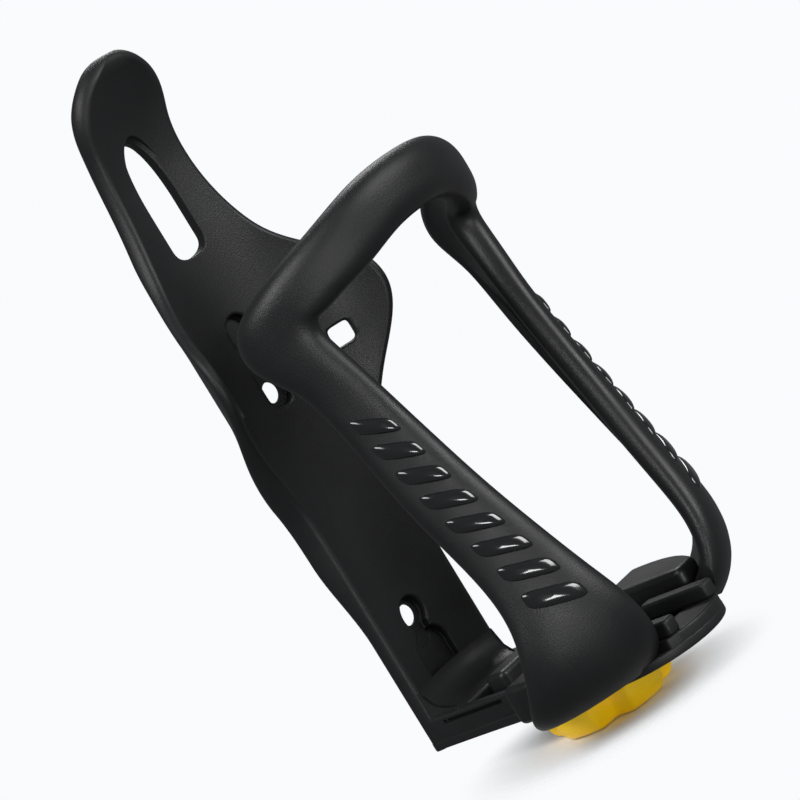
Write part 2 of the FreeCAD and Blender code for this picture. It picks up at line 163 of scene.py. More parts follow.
def build(name, shells):
    """A mesh object from closed shells given as (points, quads, triangles), outsides facing out."""
    all_points, loops, sizes, base = [], [], [], 0
    for points, quads, tris in shells:
        corners = points[np.concatenate([quads[:, [0, 1, 2]], quads[:, [0, 2, 3]], tris])]
        volume = np.einsum("ij,ij->i", corners[:, 0], np.cross(corners[:, 1], corners[:, 2])).sum()
        if volume < 0:
            quads, tris = quads[:, ::-1], tris[:, ::-1]
        all_points.append(points)
        loops += [(quads + base).ravel(), (tris + base).ravel()]
        sizes += [np.full(len(quads), 4), np.full(len(tris), 3)]
        base += len(points)
    loops, sizes = np.concatenate(loops), np.concatenate(sizes)
    mesh = bpy.data.meshes.new(name)
    mesh.vertices.add(base)
    mesh.vertices.foreach_set("co", (np.concatenate(all_points) * MM).ravel())
    mesh.loops.add(len(loops))
    mesh.loops.foreach_set("vertex_index", loops.astype(np.int32))
    mesh.polygons.add(len(sizes))
    mesh.polygons.foreach_set("loop_start", (np.cumsum(sizes) - sizes).astype(np.int32))
    mesh.update(calc_edges=True)
    mesh.validate()
    thing = bpy.data.objects.new(name, mesh)
    bpy.context.scene.collection.objects.link(thing)
    return thing


def combine(thing, shells, operation):
    """Joins closed shells to the piece, or cuts them from it, with exact booleans, and keeps the result. A result
    that lost most of the piece's points is an error."""
    helpers = []
    for n, shell in enumerate(shells):
        helper = build(f"{thing.name}_tool_{n}", [shell])
        modifier = thing.modifiers.new(f"{operation}_{n}", "BOOLEAN")
        modifier.operation = operation
        modifier.solver = "EXACT"
        modifier.object = helper
        helpers.append(helper)
    bpy.context.view_layer.update()
    graph = bpy.context.evaluated_depsgraph_get()
    mesh = bpy.data.meshes.new_from_object(thing.evaluated_get(graph))
    thing.modifiers.clear()
    old = thing.data
    if len(mesh.vertices) < len(old.vertices) / 2:
        raise RuntimeError(f"the {operation} of {thing.name} failed")
    thing.data = mesh
    bpy.data.meshes.remove(old)
    for helper in helpers:
        bpy.data.meshes.remove(helper.data)


def finish_piece(thing, material, body, node=None, sharp=38.0):
    """Smooth shading with sharp creases kept, one finish, the body the piece rides on, and the CAD part it replaces
    hidden.
    """
    mesh = thing.data
    mesh.materials.clear()
    mesh.materials.append(material)
    mesh.shade_smooth()
    mesh.set_sharp_from_angle(angle=math.radians(sharp))
    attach(thing, body)
    if node:
        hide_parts(node)


def rounded_block(outline, z0, z1, edge, steps=5):
    """A block on an outline in plan (one row of x, fwd per point, in order round it). Its side is upright and
    its upper and lower edges are quarter rounds: the outline moves in along its normal by edge(1 - cos a) while
    the height changes by edge(1 - sin a). The top and bottom shrink to the outline's middle."""
    ahead = np.roll(outline, -1, 0) - np.roll(outline, 1, 0)
    normal = np.stack([ahead[:, 1], -ahead[:, 0]], -1)
    normal /= np.linalg.norm(normal, axis=1, keepdims=True) + 1e-9
    middle = outline.mean(0)
    if np.sum((outline - middle) * normal) < 0:
        normal = -normal
    a = np.linspace(0, math.pi / 2, steps)
    inset = np.concatenate([edge * (1 - np.sin(a)), edge * (1 - np.cos(a))])
    height = np.concatenate([z0 + edge * (1 - np.cos(a)), z1 - edge * (1 - np.sin(a))])
    rings = outline[None] - normal[None] * inset[:, None, None]
    shrink = np.array([0.5, 0.9])[:, None, None]    # inner rings of the flat top and bottom
    flat_low = middle + (rings[0] - middle) * shrink
    flat_high = middle + (rings[-1] - middle) * shrink[::-1]
    rings = np.concatenate([flat_low, rings, flat_high])
    height = np.concatenate([[z0, z0], height, [z1, z1]])
    return tube(place(rings[..., 0], rings[..., 1], height[:, None]))


def rounded_rectangle(x0, x1, fwd0, fwd1, radius, count=8):
    """Outline of a rectangle with quarter-circle corners."""
    a = np.linspace(0, math.pi / 2, count)
    corners = [(x1 - radius, fwd1 - radius, 0), (x0 + radius, fwd1 - radius, 1),
               (x0 + radius, fwd0 + radius, 2), (x1 - radius, fwd0 + radius, 3)]
    parts = [np.stack([x + radius * np.cos(a + k * math.pi / 2), f + radius * np.sin(a + k * math.pi / 2)], -1)
             for x, f, k in corners]
    return refine(np.concatenate(parts), 2.5)


def round_corners(points, radius, count=7):
    """A polygon with every corner replaced by an arc tangent to both its sides."""
    points = np.asarray(points, float)
    back, ahead = np.roll(points, 1, 0) - points, np.roll(points, -1, 0) - points
    back_len, ahead_len = np.linalg.norm(back, axis=1), np.linalg.norm(ahead, axis=1)
    back, ahead = back / back_len[:, None], ahead / ahead_len[:, None]
    half = np.arccos(np.clip(np.sum(back * ahead, 1), -0.9999, 0.9999)) / 2
    cut = np.minimum(radius / np.tan(half), 0.45 * np.minimum(back_len, ahead_len))
    bisector = back + ahead
    bisector /= np.linalg.norm(bisector, axis=1, keepdims=True)
    centre = points + bisector * (cut / np.cos(half))[:, None]
    start, end = points + back * cut[:, None] - centre, points + ahead * cut[:, None] - centre
    swing = (math.pi - 2 * half)[:, None, None]
    w = np.linspace(0, 1, count)[None, :, None]
    arc = (np.sin((1 - w) * swing) * start[:, None] + np.sin(w * swing) * end[:, None]) / np.sin(swing)
    return (centre[:, None] + arc).reshape(-1, 2)


def refine(outline, longest):
    """The same closed outline with points added on its long straight runs."""
    ahead = np.roll(outline, -1, 0) - outline
    pieces = np.maximum(1, np.ceil(np.linalg.norm(ahead, axis=1) / longest)).astype(int)
    index = np.repeat(np.arange(len(outline)), pieces)
    part = (np.arange(len(index)) - np.repeat(np.cumsum(pieces) - pieces, pieces)) / np.repeat(pieces, pieces)
    return outline[index] + ahead[index] * part[:, None]


# ---- finishes -----------------------------------------------------------------------------------------

def moulded_plastic(name, colour, roughness, grain, bump, coat=0.0, sheen_variation=0.08):
    """Moulded plastic: fine mould grain in the bump and, faintly, in the colour, and a slow cloud in roughness."""
    material = bpy.data.materials.new(name)
    material.use_nodes = True
    nodes, links = material.node_tree.nodes, material.node_tree.links
    shader = nodes["Principled BSDF"]
    shader.inputs["Coat Weight"].default_value = coat
    shader.inputs["Coat Roughness"].default_value = 0.12
    shader.inputs["Specular IOR Level"].default_value = 0.36
    place_node = nodes.new("ShaderNodeTexCoord")
    fine = nodes.new("ShaderNodeTexNoise")
    fine.inputs["Scale"].default_value = grain
    fine.inputs["Detail"].default_value = 4.0
    fine.inputs["Roughness"].default_value = 0.6
    cloud = nodes.new("ShaderNodeTexNoise")
    cloud.inputs["Scale"].default_value = 55.0
    cloud.inputs["Detail"].default_value = 3.0
    spread = nodes.new("ShaderNodeMapRange")
    spread.inputs["From Min"].default_value = 0.3
    spread.inputs["From Max"].default_value = 0.7
    spread.inputs["To Min"].default_value = roughness - sheen_variation
    spread.inputs["To Max"].default_value = roughness + sheen_variation
    tint = nodes.new("ShaderNodeMix")
    tint.data_type = "RGBA"
    tint.inputs["A"].default_value = (*colour, 1.0)
    tint.inputs["B"].default_value = (*[min(1.0, c * 1.25 + 0.0008) for c in colour], 1.0)
    relief = nodes.new("ShaderNodeBump")
    relief.inputs["Strength"].default_value = bump
    relief.inputs["Distance"].default_value = 0.0002
    links.new(place_node.outputs["Object"], fine.inputs["Vector"])
    links.new(place_node.outputs["Object"], cloud.inputs["Vector"])
    links.new(cloud.outputs["Fac"], spread.inputs["Value"])
    links.new(spread.outputs["Result"], shader.inputs["Roughness"])
    links.new(fine.outputs["Fac"], tint.inputs["Factor"])
    links.new(tint.outputs["Result"], shader.inputs["Base Color"])
    links.new(fine.outputs["Fac"], relief.inputs["Height"])
    links.new(relief.outputs["Normal"], shader.inputs["Normal"])
    return material


def plated_steel(name, colour, roughness):
    """Bright plated steel with turning marks in rings about the knob's axis."""
    material = bpy.data.materials.new(name)
    material.use_nodes = True
    nodes, links = material.node_tree.nodes, material.node_tree.links
    shader = nodes["Principled BSDF"]
    shader.inputs["Metallic"].default_value = 1.0
    shader.inputs["Base Color"].default_value = (*colour, 1.0)
    place_node = nodes.new("ShaderNodeTexCoord")
    centre = nodes.new("ShaderNodeMapping")
    centre.inputs["Location"].default_value = (0.0, KNOB_FWD * MM, 0.0)
    rings = nodes.new("ShaderNodeTexWave")
    rings.wave_type = "RINGS"
    rings.rings_direction = "Z"
    rings.inputs["Scale"].default_value = 900.0
    rings.inputs["Distortion"].default_value = 1.5
    spread = nodes.new("ShaderNodeMapRange")
    spread.inputs["To Min"].default_value = roughness - 0.06
    spread.inputs["To Max"].default_value = roughness + 0.08
    links.new(place_node.outputs["Object"], centre.inputs["Vector"])
    links.new(centre.outputs["Vector"], rings.inputs["Vector"])
    links.new(rings.outputs["Fac"], spread.inputs["Value"])
    links.new(spread.outputs["Result"], shader.inputs["Roughness"])
    return material


# ---- back plate ---------------------------------------------------------------------------------------

# half width of the plate against distance along it from the foot: straight foot, ears, tongue, round head
PLATE_WIDTH = [(0, 17.5), (30, 17.5), (56, 17.8), (66, 18.8), (75, 22.0), (84, 27.2), (92, 32.0), (99, 34.5),
               (106, 34.8), (111, 33.6), (116, 30.6), (121, 26.8), (128, 22.0), (136, 18.6), (146, 16.0), (156, 14.9),
               (165, 15.0), (173, 16.0), (185, 16.8)]
# side view of the plate's middle surface: straight up the back, then curling forward
PLATE_SIDE = [(1.5, 0), (1.5, 40), (1.5, 80), (1.5, 120), (1.5, 140), (1.6, 150), (2.4, 160), (4.4, 168.4),
              (7.0, 174.4), (10.0, 179.4), (13.4, 183.2)]


def plate_path(count):
    """Distance along the plate, its side-view points (fwd, z) and forward normals, closer together at the tip."""
    side = np.array(PLATE_SIDE, float)
    knots = np.concatenate([[0], np.cumsum(np.linalg.norm(np.diff(side, axis=0), axis=1))])
    dense = 26.0    # length of the stretch with closer rows
    last = dense * np.sin(np.linspace(0, math.pi / 2, count // 4))
    along = np.concatenate([np.linspace(0, knots[-1] - dense, count), knots[-1] - dense + last[1:]])
    points = spline(knots, side, along)
    ahead = np.gradient(points, along, axis=0)
    normal = np.stack([ahead[:, 1], -ahead[:, 0]], -1)
    normal /= np.linalg.norm(normal, axis=1, keepdims=True)
    points[:, 1] += BASE_Z
    return along, points, normal


def plate_surface(settings):
    """The back plate. Row: distance along the side-view path. Ring: across the front face, round the edge, back
    across the rear face. Across, a point at x lies on a circle of the hollow's radius, so it stands forward of
    the path by r(1 - cos phi), with phi = asin(x / r). The wall thickens towards the lip and at the edge ribs.
    Over the crown, the last stretch, the half width falls by (1 - u^2.4)^0.5, with u from 0 to 1."""
    along, path, normal = plate_path(340)
    total = along[-1]
    widths = np.array(PLATE_WIDTH, float)
    half = spline(widths[:, 0], widths[:, 1], np.minimum(along, widths[-1, 0]))
    crown, tip = 20.0, 3.6    # lengths over which the outline and then the wall round off
    close = np.clip(1 - (np.clip(along - (total - crown), 0, crown) / crown) ** 2.4, 0.0004, 1) ** 0.5
    wall = settings.wall + (settings.lip_wall - settings.wall) * smoothstep(total - 34, total - 6, along)
    wall *= np.sqrt(np.clip(1 - (np.clip(along - (total - tip), 0, tip) / tip) ** 2, 0.0009, 1))
    half = half * close
    across = 56
    bow = np.sin(np.linspace(-1, 1, across) * math.pi / 2)
    rim = np.linspace(-math.pi / 2, math.pi / 2, 11)[1:-1]
    # ring parameters: c across (-1..1), d through the wall (+0.5 front, -0.5 back), e outward at the rims
    c = np.concatenate([bow, np.ones(len(rim)), bow[::-1], -np.ones(len(rim))])
    d = np.concatenate([np.full(across, 0.5), -np.sin(rim) * 0.5, np.full(across, -0.5), np.sin(rim) * 0.5])
    e = np.concatenate([np.zeros(across), np.cos(rim), np.zeros(across), np.cos(rim)])
    inset = np.minimum(wall / 2, half * 0.5)[:, None]
    x_mid = c * (half[:, None] - inset)
    r_mid = settings.inner_r + settings.wall / 2
    phi = np.arcsin(np.clip(x_mid / r_mid, -1, 1))
    edge = np.abs(x_mid) / np.maximum(half[:, None], 1)
    # ribs down the rear edges: full below the ears, lower at the foot and up the tongue, none at the tip
    low = 1 - smoothstep(70, 96, along)[:, None]
    foot = 0.35 + 0.65 * smoothstep(30, 54, along)[:, None]
    tongue = 0.42 * (smoothstep(118, 138, along) * (1 - smoothstep(total - 12, total - 2, along)))[:, None]
    rib = settings.rib * smoothstep(0.76, 0.93, edge) * np.maximum(low * foot, tongue)
    # a flat strip up the middle of the rear face, and a shallower hollow on the tongue
    flat = np.clip(r_mid * (1 - np.cos(phi)), 0, 0.9) * (1 - smoothstep(0.36, 0.46, edge)) * low
    hollow = 1 - 0.25 * smoothstep(112, 142, along)[:, None]
    depth = d * wall[:, None] - np.where(d < 0, (rib + flat) * np.abs(d) * 2, 0)
    reach = e * inset * np.sign(c)
    x = (r_mid - depth) * np.sin(phi) + reach * np.cos(phi)
    forward = depth + hollow * ((r_mid - depth) * (1 - np.cos(phi)) + reach * np.sin(phi))
    fwd = path[:, None, 0] + normal[:, None, 0] * forward
    z = path[:, None, 1] + normal[:, None, 1] * forward
    return tube(place(x, fwd, z))


def hole_cutter(settings, outline, depth_front, depth_back, lip):
    """A cutter into the plate on an outline given in front view (x, z), from depth_back to depth_front, counted
    forward from the rear face. Near a face the outline grows by lip(1 - sqrt(1 - s^2)), so the hole's edges come
    out rounded. With depth_back at 0 or more it is a recess with a flat floor. It follows the hollow."""
    ahead = np.roll(outline, -1, 0) - np.roll(outline, 1, 0)
    normal = np.stack([ahead[:, 1], -ahead[:, 0]], -1)
    normal /= np.linalg.norm(normal, axis=1, keepdims=True) + 1e-9
    middle = (outline.max(0) + outline.min(0)) / 2
    if np.sum((outline - middle) * normal) < 0:
        normal = -normal
    s = np.linspace(0, 0.98, 6)
    grow = lip * (1 - np.sqrt(1 - s ** 2))
    front = np.concatenate([depth_front - lip + s * lip, [depth_front + lip, depth_front + 6]])
    front_grow = np.concatenate([grow, [grow[-1] + 1.6 * lip, grow[-1] + 2.4 * lip]])
    if depth_back < 0:
        back = np.concatenate([[depth_back - 6, depth_back - lip], (depth_back + lip - s * lip)[::-1]])
        back_grow = np.concatenate([[grow[-1] + 2.4 * lip, grow[-1] + 1.6 * lip], grow[::-1]])
    else:
        back, back_grow = np.array([depth_back, depth_back + 0.25]), np.array([-0.25, 0.0])
    depth = np.concatenate([back, front])
    size = np.concatenate([back_grow, front_grow])
    shape = outline[None] + normal[None] * size[:, None, None]
    r_mid = settings.inner_r + settings.wall / 2
    phi = np.arcsin(np.clip(shape[..., 0] / r_mid, -0.99, 0.99))
    radial = r_mid - (depth[:, None] - settings.wall / 2)
    fwd = settings.wall / 2 + r_mid - radial * np.cos(phi)
    return tube(place(radial * np.sin(phi), fwd, shape[..., 1]))


def slot_outline(half_width, z0, z1, foot_round, head_round, count=90):
    """Upright slot in front view. With t from 0 at the foot to 1 at the head, the half width is w times
    (1 - ((t - head)/(1 - head))^2.2)^0.5 above head, and w times (1 - ((foot - t)/foot)^2.6)^0.42 below foot."""
    t = (1 - np.cos(np.linspace(0, math.pi, count))) / 2
    length = z1 - z0
    head = 1 - head_round / length
    foot = foot_round / length
    top = np.sqrt(np.clip(1 - np.clip((t - head) / (1 - head), 0, 1) ** 2.2, 0, 1))
    bottom = np.clip(1 - np.clip((foot - t) / foot, 0, 1) ** 2.6, 0, 1) ** 0.42
    half = half_width * top * bottom
    z = z0 + t * length
    right = np.stack([half, z], -1)
    left = np.stack([-half, z], -1)[::-1][1:-1]
    return np.concatenate([right, left])


def window_outline(x, z, half_width, half_height, count=72):
    """Rounded square window in an ear: a superellipse of power 5."""
    a = np.linspace(0, 2 * math.pi, count, endpoint=False)
    return np.stack([x + half_width * power(np.cos(a), 0.4), z + half_height * power(np.sin(a), 0.4)], -1)


class CAGE_OT_back_plate(bpy.types.Operator):
    """Concave back plate with ears, curled tongue, slot, windows and bolt holes"""
    bl_idname = "cage.back_plate"
    bl_label = "Back plate"

    def execute(self, context):
        settings = context.scene.cage_plate
        plate = build("back_plate", [plate_surface(settings)])
        front, through, recess = settings.wall, -0.4, 0.7
        a = np.linspace(0, 2 * math.pi, 48, endpoint=False)
        circle = np.stack([np.cos(a), np.sin(a)], -1)
        head_r = 4.3    # room for a bolt's head
        # outline, how deep, and the rounding of its edge: tongue slot, windows, then the bolt heads' recesses
        openings = [(slot_outline(6.1, 69.8, 101.0, 4.0, 18.0), through, 0.5),
                    (window_outline(-23.0, 34.4, 2.5, 2.7), through, 0.7),
                    (window_outline(23.0, 34.4, 2.5, 2.7), through, 0.7),
                    (slot_outline(head_r, BOLT_Z - head_r, BOLT_Z + 21, head_r, head_r), recess, 0.5),
                    (circle * head_r + [0, -BOLT_Z], recess, 0.5),
                    (slot_outline(2.9, -BOLT_Z - 9, -BOLT_Z, 2.0, 2.0), recess, 0.4),
                    (slot_outline(6.2, -BOLT_Z - 18.5, -BOLT_Z - 4.6, 3.0, 6.0), recess, 0.6)]
        combine(plate, [hole_cutter(settings, shape, front, back, lip) for shape, back, lip in openings], "DIFFERENCE")
        combine(plate, [hole_cutter(settings, circle * BOLT_R + [0, z], front, through, 0.3)
                        for z in (-BOLT_Z, BOLT_Z)], "DIFFERENCE")
        finish_piece(plate, bpy.data.materials["black_body"], "cage", "cage_body")
        return {"FINISHED"}


# ---- base ---------------------------------------------------------------------------------------------

BASE_HALF = 17.6      # half width at the rear
BASE_REAR = 2.6
NOSE_FWD = 64.0       # centre of the round nose
NOSE_R = 18.95
FLOOR_H = 2.5         # heights over the underside: floor, nose, rear block and rails
NOSE_H = 5.0
TRAY_H = 8.0
RAIL_END = 41.0
TRAY_FRONT = 17.5     # front of the rear block, where the slider's trough starts
TROUGH_HALF = 14.2
BAR_X = 9.0           # the two hold-down bars over the slider
BAR_R = 2.2


def base_outline():
    """Plan of the base's floor: sides that widen a little into the round nose."""
    fwd = np.linspace(BASE_REAR, NOSE_FWD, 30)[:-1]
    half = BASE_HALF + (NOSE_R - BASE_HALF) * smoothstep(16, NOSE_FWD - 8, fwd)
    a = np.linspace(0, math.pi, 64)
    right = np.stack([half, fwd], -1)
    nose = np.stack([NOSE_R * np.cos(a), NOSE_FWD + NOSE_R * np.sin(a)], -1)
    left = np.stack([-half, fwd], -1)[::-1]
    foot = np.stack([np.linspace(-BASE_HALF, BASE_HALF, 16)[1:-1], np.full(14, BASE_REAR)], -1)
    return np.concatenate([right, nose, left, foot])


def nose_lip():
    """Plan of the raised front of the nose, between the two feet: a slice of the nose's disc."""
    edge, rear, radius = 12.0, 71.2, NOSE_R - 0.03
    a0 = math.asin(edge / NOSE_R)
    a = np.linspace(math.pi / 2 - a0, math.pi / 2 + a0, 9)
    front = np.stack([radius * np.cos(a), NOSE_FWD + radius * np.sin(a)], -1)
    back = np.array([[-edge, rear], [edge, rear]])
    return refine(round_corners(np.concatenate([front, back]), 1.2), 2.0)


def fillet_strip(settings, radius, z):
    """Hollow fillet between the plate and the rear block, carried across the plate's width on its circle."""
    a = np.linspace(0, math.pi / 2, 9)
    reach = np.concatenate([[-2.0, -2.0], radius * (1 - np.cos(a)), [radius]])
    lift = np.concatenate([[-1.5, radius], radius * (1 - np.sin(a)), [-1.5]])
    phi = np.linspace(-0.46, 0.46, 40)[:, None]
    r = settings.inner_r - reach
    return tube(place(r * np.sin(phi), settings.inner_r + settings.wall - r * np.cos(phi), z + lift + 0 * phi))


class CAGE_OT_base(bpy.types.Operator):
    """Base of the body: floor, rear block, side rails, round nose and hold-down bars"""
    bl_idname = "cage.base"
    bl_label = "Base"

    def execute(self, context):
        floor_top = BASE_Z + FLOOR_H
        floor = build("base_tray", [rounded_block(base_outline(), BASE_Z, floor_top, 0.5)])
        a = np.linspace(0, 2 * math.pi, 64, endpoint=False)
        hub_r = 4.5
        hole = np.stack([hub_r * np.cos(a), KNOB_FWD + hub_r * np.sin(a)], -1)
        combine(floor, [rounded_block(hole, BASE_Z - 2, floor_top + 2, 0.1)], "DIFFERENCE")
        finish_piece(floor, bpy.data.materials["black_body"], "cage")

        rear_block = rounded_rectangle(-15.2, 15.2, 3.2, TRAY_FRONT, 1.2)
        shells = [rounded_block(nose_lip(), BASE_Z + 0.5, BASE_Z + NOSE_H, 0.7),
                  rounded_block(rear_block, BASE_Z + 0.01, BASE_Z + TRAY_H, 0.7),
                  fillet_strip(context.scene.cage_plate, 7.0, BASE_Z + TRAY_H - 0.1)]
        for side in (-1, 1):
            bar = rounded_rectangle(side * BAR_X - BAR_R, side * BAR_X + BAR_R, 60.0, 80.4, 1.2)
            shells.append(rounded_block(bar, floor_top + 2.35, BASE_Z + 9.0, 0.9))
        walls = build("base_walls", shells)
        finish_piece(walls, bpy.data.materials["black_body"], "cage")

        for side, label in ((-1, "left"), (1, "right")):
            x0, x1 = sorted((side * TROUGH_HALF, side * (BASE_HALF - 0.05)))
            outline = rounded_rectangle(x0, x1, 3.4, RAIL_END, 0.9)
            rail = build("rail_" + label, [rounded_block(outline, BASE_Z + 0.02, BASE_Z + TRAY_H - 0.02, 0.7)])
            x0, x1 = sorted((side * (BASE_HALF - 1.4), side * (BASE_HALF + 3.0)))
            slit = rounded_rectangle(x0, x1, 10.0, 30.0, 0.6)
            combine(rail, [rounded_block(slit, BASE_Z + TRAY_H - 2.1, BASE_Z + TRAY_H - 1.1, 0.1)], "DIFFERENCE")
            finish_piece(rail, bpy.data.materials["black_body"], "cage")
        return {"FINISHED"}


# ---- front loop ---------------------------------------------------------------------------------------

HOOP_R = 41.7    # radius at which the band's angles are turned into lengths
# meridian of the surface that the loop's band lies on: position m along it, radius from the hoop's axis, height
LOOP_SIDE = [(70, 39.8, 70), (54, 39.8, 54), (38, 39.4, 38), (24, 39.5, 24), (8, 41.1, 8), (-6, 43.2, -6),
             (-20, 45.6, -20), (-33, 48.4, -33), (-41, 49.7, -41), (-48, 49.3, -48), (-55, 46.8, -54.0),
             (-61, 42.7, -57.8), (-67, 37.2, -59.8), (-74, 30.4, -60.2)]
# the band's two edges from foot to the front of the hoop: angle and position m of the rear one, then the front one
LOOP_EDGES = [(62, -71, 12, -71), (61, -62, 14, -62), (58, -54, 16, -54), (54.5, -46, 18.5, -46),
              (51.5, -36, 22.5, -36), (53.5, -20, 28.8, -20), (58.8, -5, 34.8, -5), (63.4, 10, 40.5, 10),
              (67.8, 24, 45.6, 23), (73.0, 33.6, 50.0, 33.5), (79.0, 39.4, 52.8, 39.8), (82.2, 45.4, 53.6, 43.4),
              (79.4, 51.2, 52.2, 45.4), (71.0, 55.4, 48.6, 46.2), (57.5, 59.4, 41.8, 47.6),
              (40.5, 63.4, 30.0, 49.8), (20.5, 67.4, 15.0, 53.0), (0, 68.6, 0, 54.0)]


def loop_edges(t):
    """Both edges of the band at t, 0 at one foot and 1 at the other: the second half mirrors the first."""
    half = np.array(LOOP_EDGES, float)
    rear = np.stack([np.radians(half[:, 0]) * HOOP_R, half[:, 1]], -1)
    front = np.stack([np.radians(half[:, 2]) * HOOP_R, half[:, 3]], -1)
    middle = (rear + front) / 2
    steps = np.linalg.norm(np.diff(middle, axis=0), axis=1)
    knots = np.concatenate([[0], np.cumsum(steps)])
    full = np.concatenate([knots, 2 * knots[-1] - knots[:-1][::-1]]) / (2 * knots[-1])
    table = np.concatenate([half, half[:-1][::-1] * [-1, 1, -1, 1]])
    return spline(full, table, np.asarray(t, float))


def band_point(t, c, lift):
    """A point of the loop: t along the band, c across it (-1 front edge, 1 rear edge), lift out from its middle
    surface. The surface turns the meridian (radius, height) round the hoop's axis, and lift goes along the
    meridian's normal."""
    axis_fwd = bpy.context.scene.cage_loop.axis_fwd
    edges = loop_edges(np.ravel(t)).reshape(np.shape(t) + (4,))
    mid = (edges[..., :2] + edges[..., 2:]) / 2
    reach = (edges[..., :2] - edges[..., 2:]) / 2
    angle = np.radians(mid[..., 0] + c * reach[..., 0])
    m = mid[..., 1] + c * reach[..., 1]
    side = np.array(LOOP_SIDE, float)[::-1]
    dense = np.linspace(side[0, 0], side[-1, 0], 600)
    curve = spline(side[:, 0], side[:, 1:], dense)
    slope = np.gradient(curve, dense, axis=0)
    slope /= np.linalg.norm(slope, axis=1, keepdims=True)
    radius = np.interp(m, dense, curve[:, 0]) + lift * np.interp(m, dense, slope[:, 1])
    z = np.interp(m, dense, curve[:, 1]) - lift * np.interp(m, dense, slope[:, 0])
    return place(radius * np.sin(angle), axis_fwd + radius * np.cos(angle), z)


def band_wall(t, settings):
    """Half thickness of the band: thin arms, thicker hoop."""
    hoop = smoothstep(0.27, 0.36, np.minimum(t, 1 - t))
    return (settings.arm_wall + (settings.hoop_wall - settings.arm_wall) * hoop) / 2


def band_lift(t, c, settings):
    """Height of the outer face above the middle surface, half wall times (1 - |c|^3)^0.5: a flat dome."""
    return band_wall(t, settings) * np.clip(1 - np.abs(c) ** 3.0, 0, 1) ** 0.5


def loop_surface(settings):
    """The whole loop. Row: t along the band. Ring: round its section with the angle a, so c = cos a squared off.
    The outside is domed, the inside is flatter, at half wall times -(1 - |c|^5)^0.5, with a shallow channel."""
    t = np.linspace(0, 1, 560)[:, None]
    a = np.linspace(0, 2 * math.pi, 72, endpoint=False)[None]
    c = power(np.cos(a), 0.72)
    outer = band_lift(t, c, settings)
    inner = -band_wall(t, settings) * np.clip(1 - np.abs(c) ** 5.0, 0, 1) ** 0.5
    from_foot = np.minimum(t, 1 - t)
    arm = smoothstep(0.055, 0.085, from_foot) * (1 - 0.75 * smoothstep(0.25, 0.31, from_foot))
    channel = settings.channel * arm * (1 - smoothstep(0.38, 0.62, np.abs(c)))
    lift = np.where(np.sin(a) >= 0, outer, inner + channel)
    return tube(band_point(np.broadcast_to(t, lift.shape), np.broadcast_to(c, lift.shape), lift))


def foot_outline(side):
    """Plan of a runner beside the slider: straight inside, round outside on the foot's circle. Its rear end stays
    clear of the rail when the loop is all the way back."""
    inner = 14.0
    rear = RAIL_END + BACK_TRAVEL + 0.3
    radius, centre = 31.0, 48.0
    a = np.linspace(math.asin((rear - centre) / radius), math.radians(47.0), 9)
    outside = np.stack([radius * np.cos(a), centre + radius * np.sin(a)], -1)
    inside = np.array([[inner, outside[-1, 1]], [inner, rear]])
    return refine(round_corners(np.concatenate([outside, inside]), 2.6), 1.5) * [side, 1]


class CAGE_OT_front_loop(bpy.types.Operator):
    """Hoop, arms, feet and slider of the front loop in one moulding"""
    bl_idname = "cage.front_loop"
    bl_label = "Front loop"

    def execute(self, context):
        settings = context.scene.cage_loop
        loop = build("bottle_loop", [loop_surface(settings)])
        under = BASE_Z + FLOOR_H + 0.2    # underside of the slider, a running gap over the floor
        shells = [rounded_block(foot_outline(side), under, under + 9.6, 1.6) for side in (-1, 1)]
        # slider, its thin front apron and its rear wall: half width, rear, front, corner, bottom, top, edge
        for half, rear, front, corner, low, high, edge in ((14.0, 24.0, 56.6, 4.5, 0.01, 4.8, 0.8),
                                                           (17.5, 44.0, 63.0, 1.0, 0.02, 2.0, 0.3),
                                                           (13.4, 24.2, 31.0, 1.8, 1.0, 9.0, 1.4)):
            plan = rounded_rectangle(-half, half, rear, front, corner)
            shells.append(rounded_block(plan, under + low, under + high, edge))
        combine(loop, shells, "UNION")
        slot_half, over = BAR_R + 0.6, under + 30    # "over" is above all that is cut
        cuts = [rounded_block(rounded_rectangle(x - slot_half, x + slot_half, 52.0, 75.0, 0.5), under + 2.02, over, 0.2)
                for x in (-BAR_X, BAR_X)]
        cuts.append(rounded_block(rounded_rectangle(-13.6, 13.6, 63.0, 95.0, 0.5), under - 3, over, 0.2))
        cuts.append(rounded_block(rounded_rectangle(-19.4, 19.4, -10, 110, 1.0), under - 20, under, 0.1))
        combine(loop, cuts, "DIFFERENCE")
        # level the feet just above the base's underside
        below = rounded_block(rounded_rectangle(-70, 70, -10, 110, 1.0), BASE_Z - 20, BASE_Z + 1.61, 0.1)
        combine(loop, [below], "DIFFERENCE")
        finish_piece(loop, bpy.data.materials["black_loop"], "loop", "front_loop")
        return {"FINISHED"}


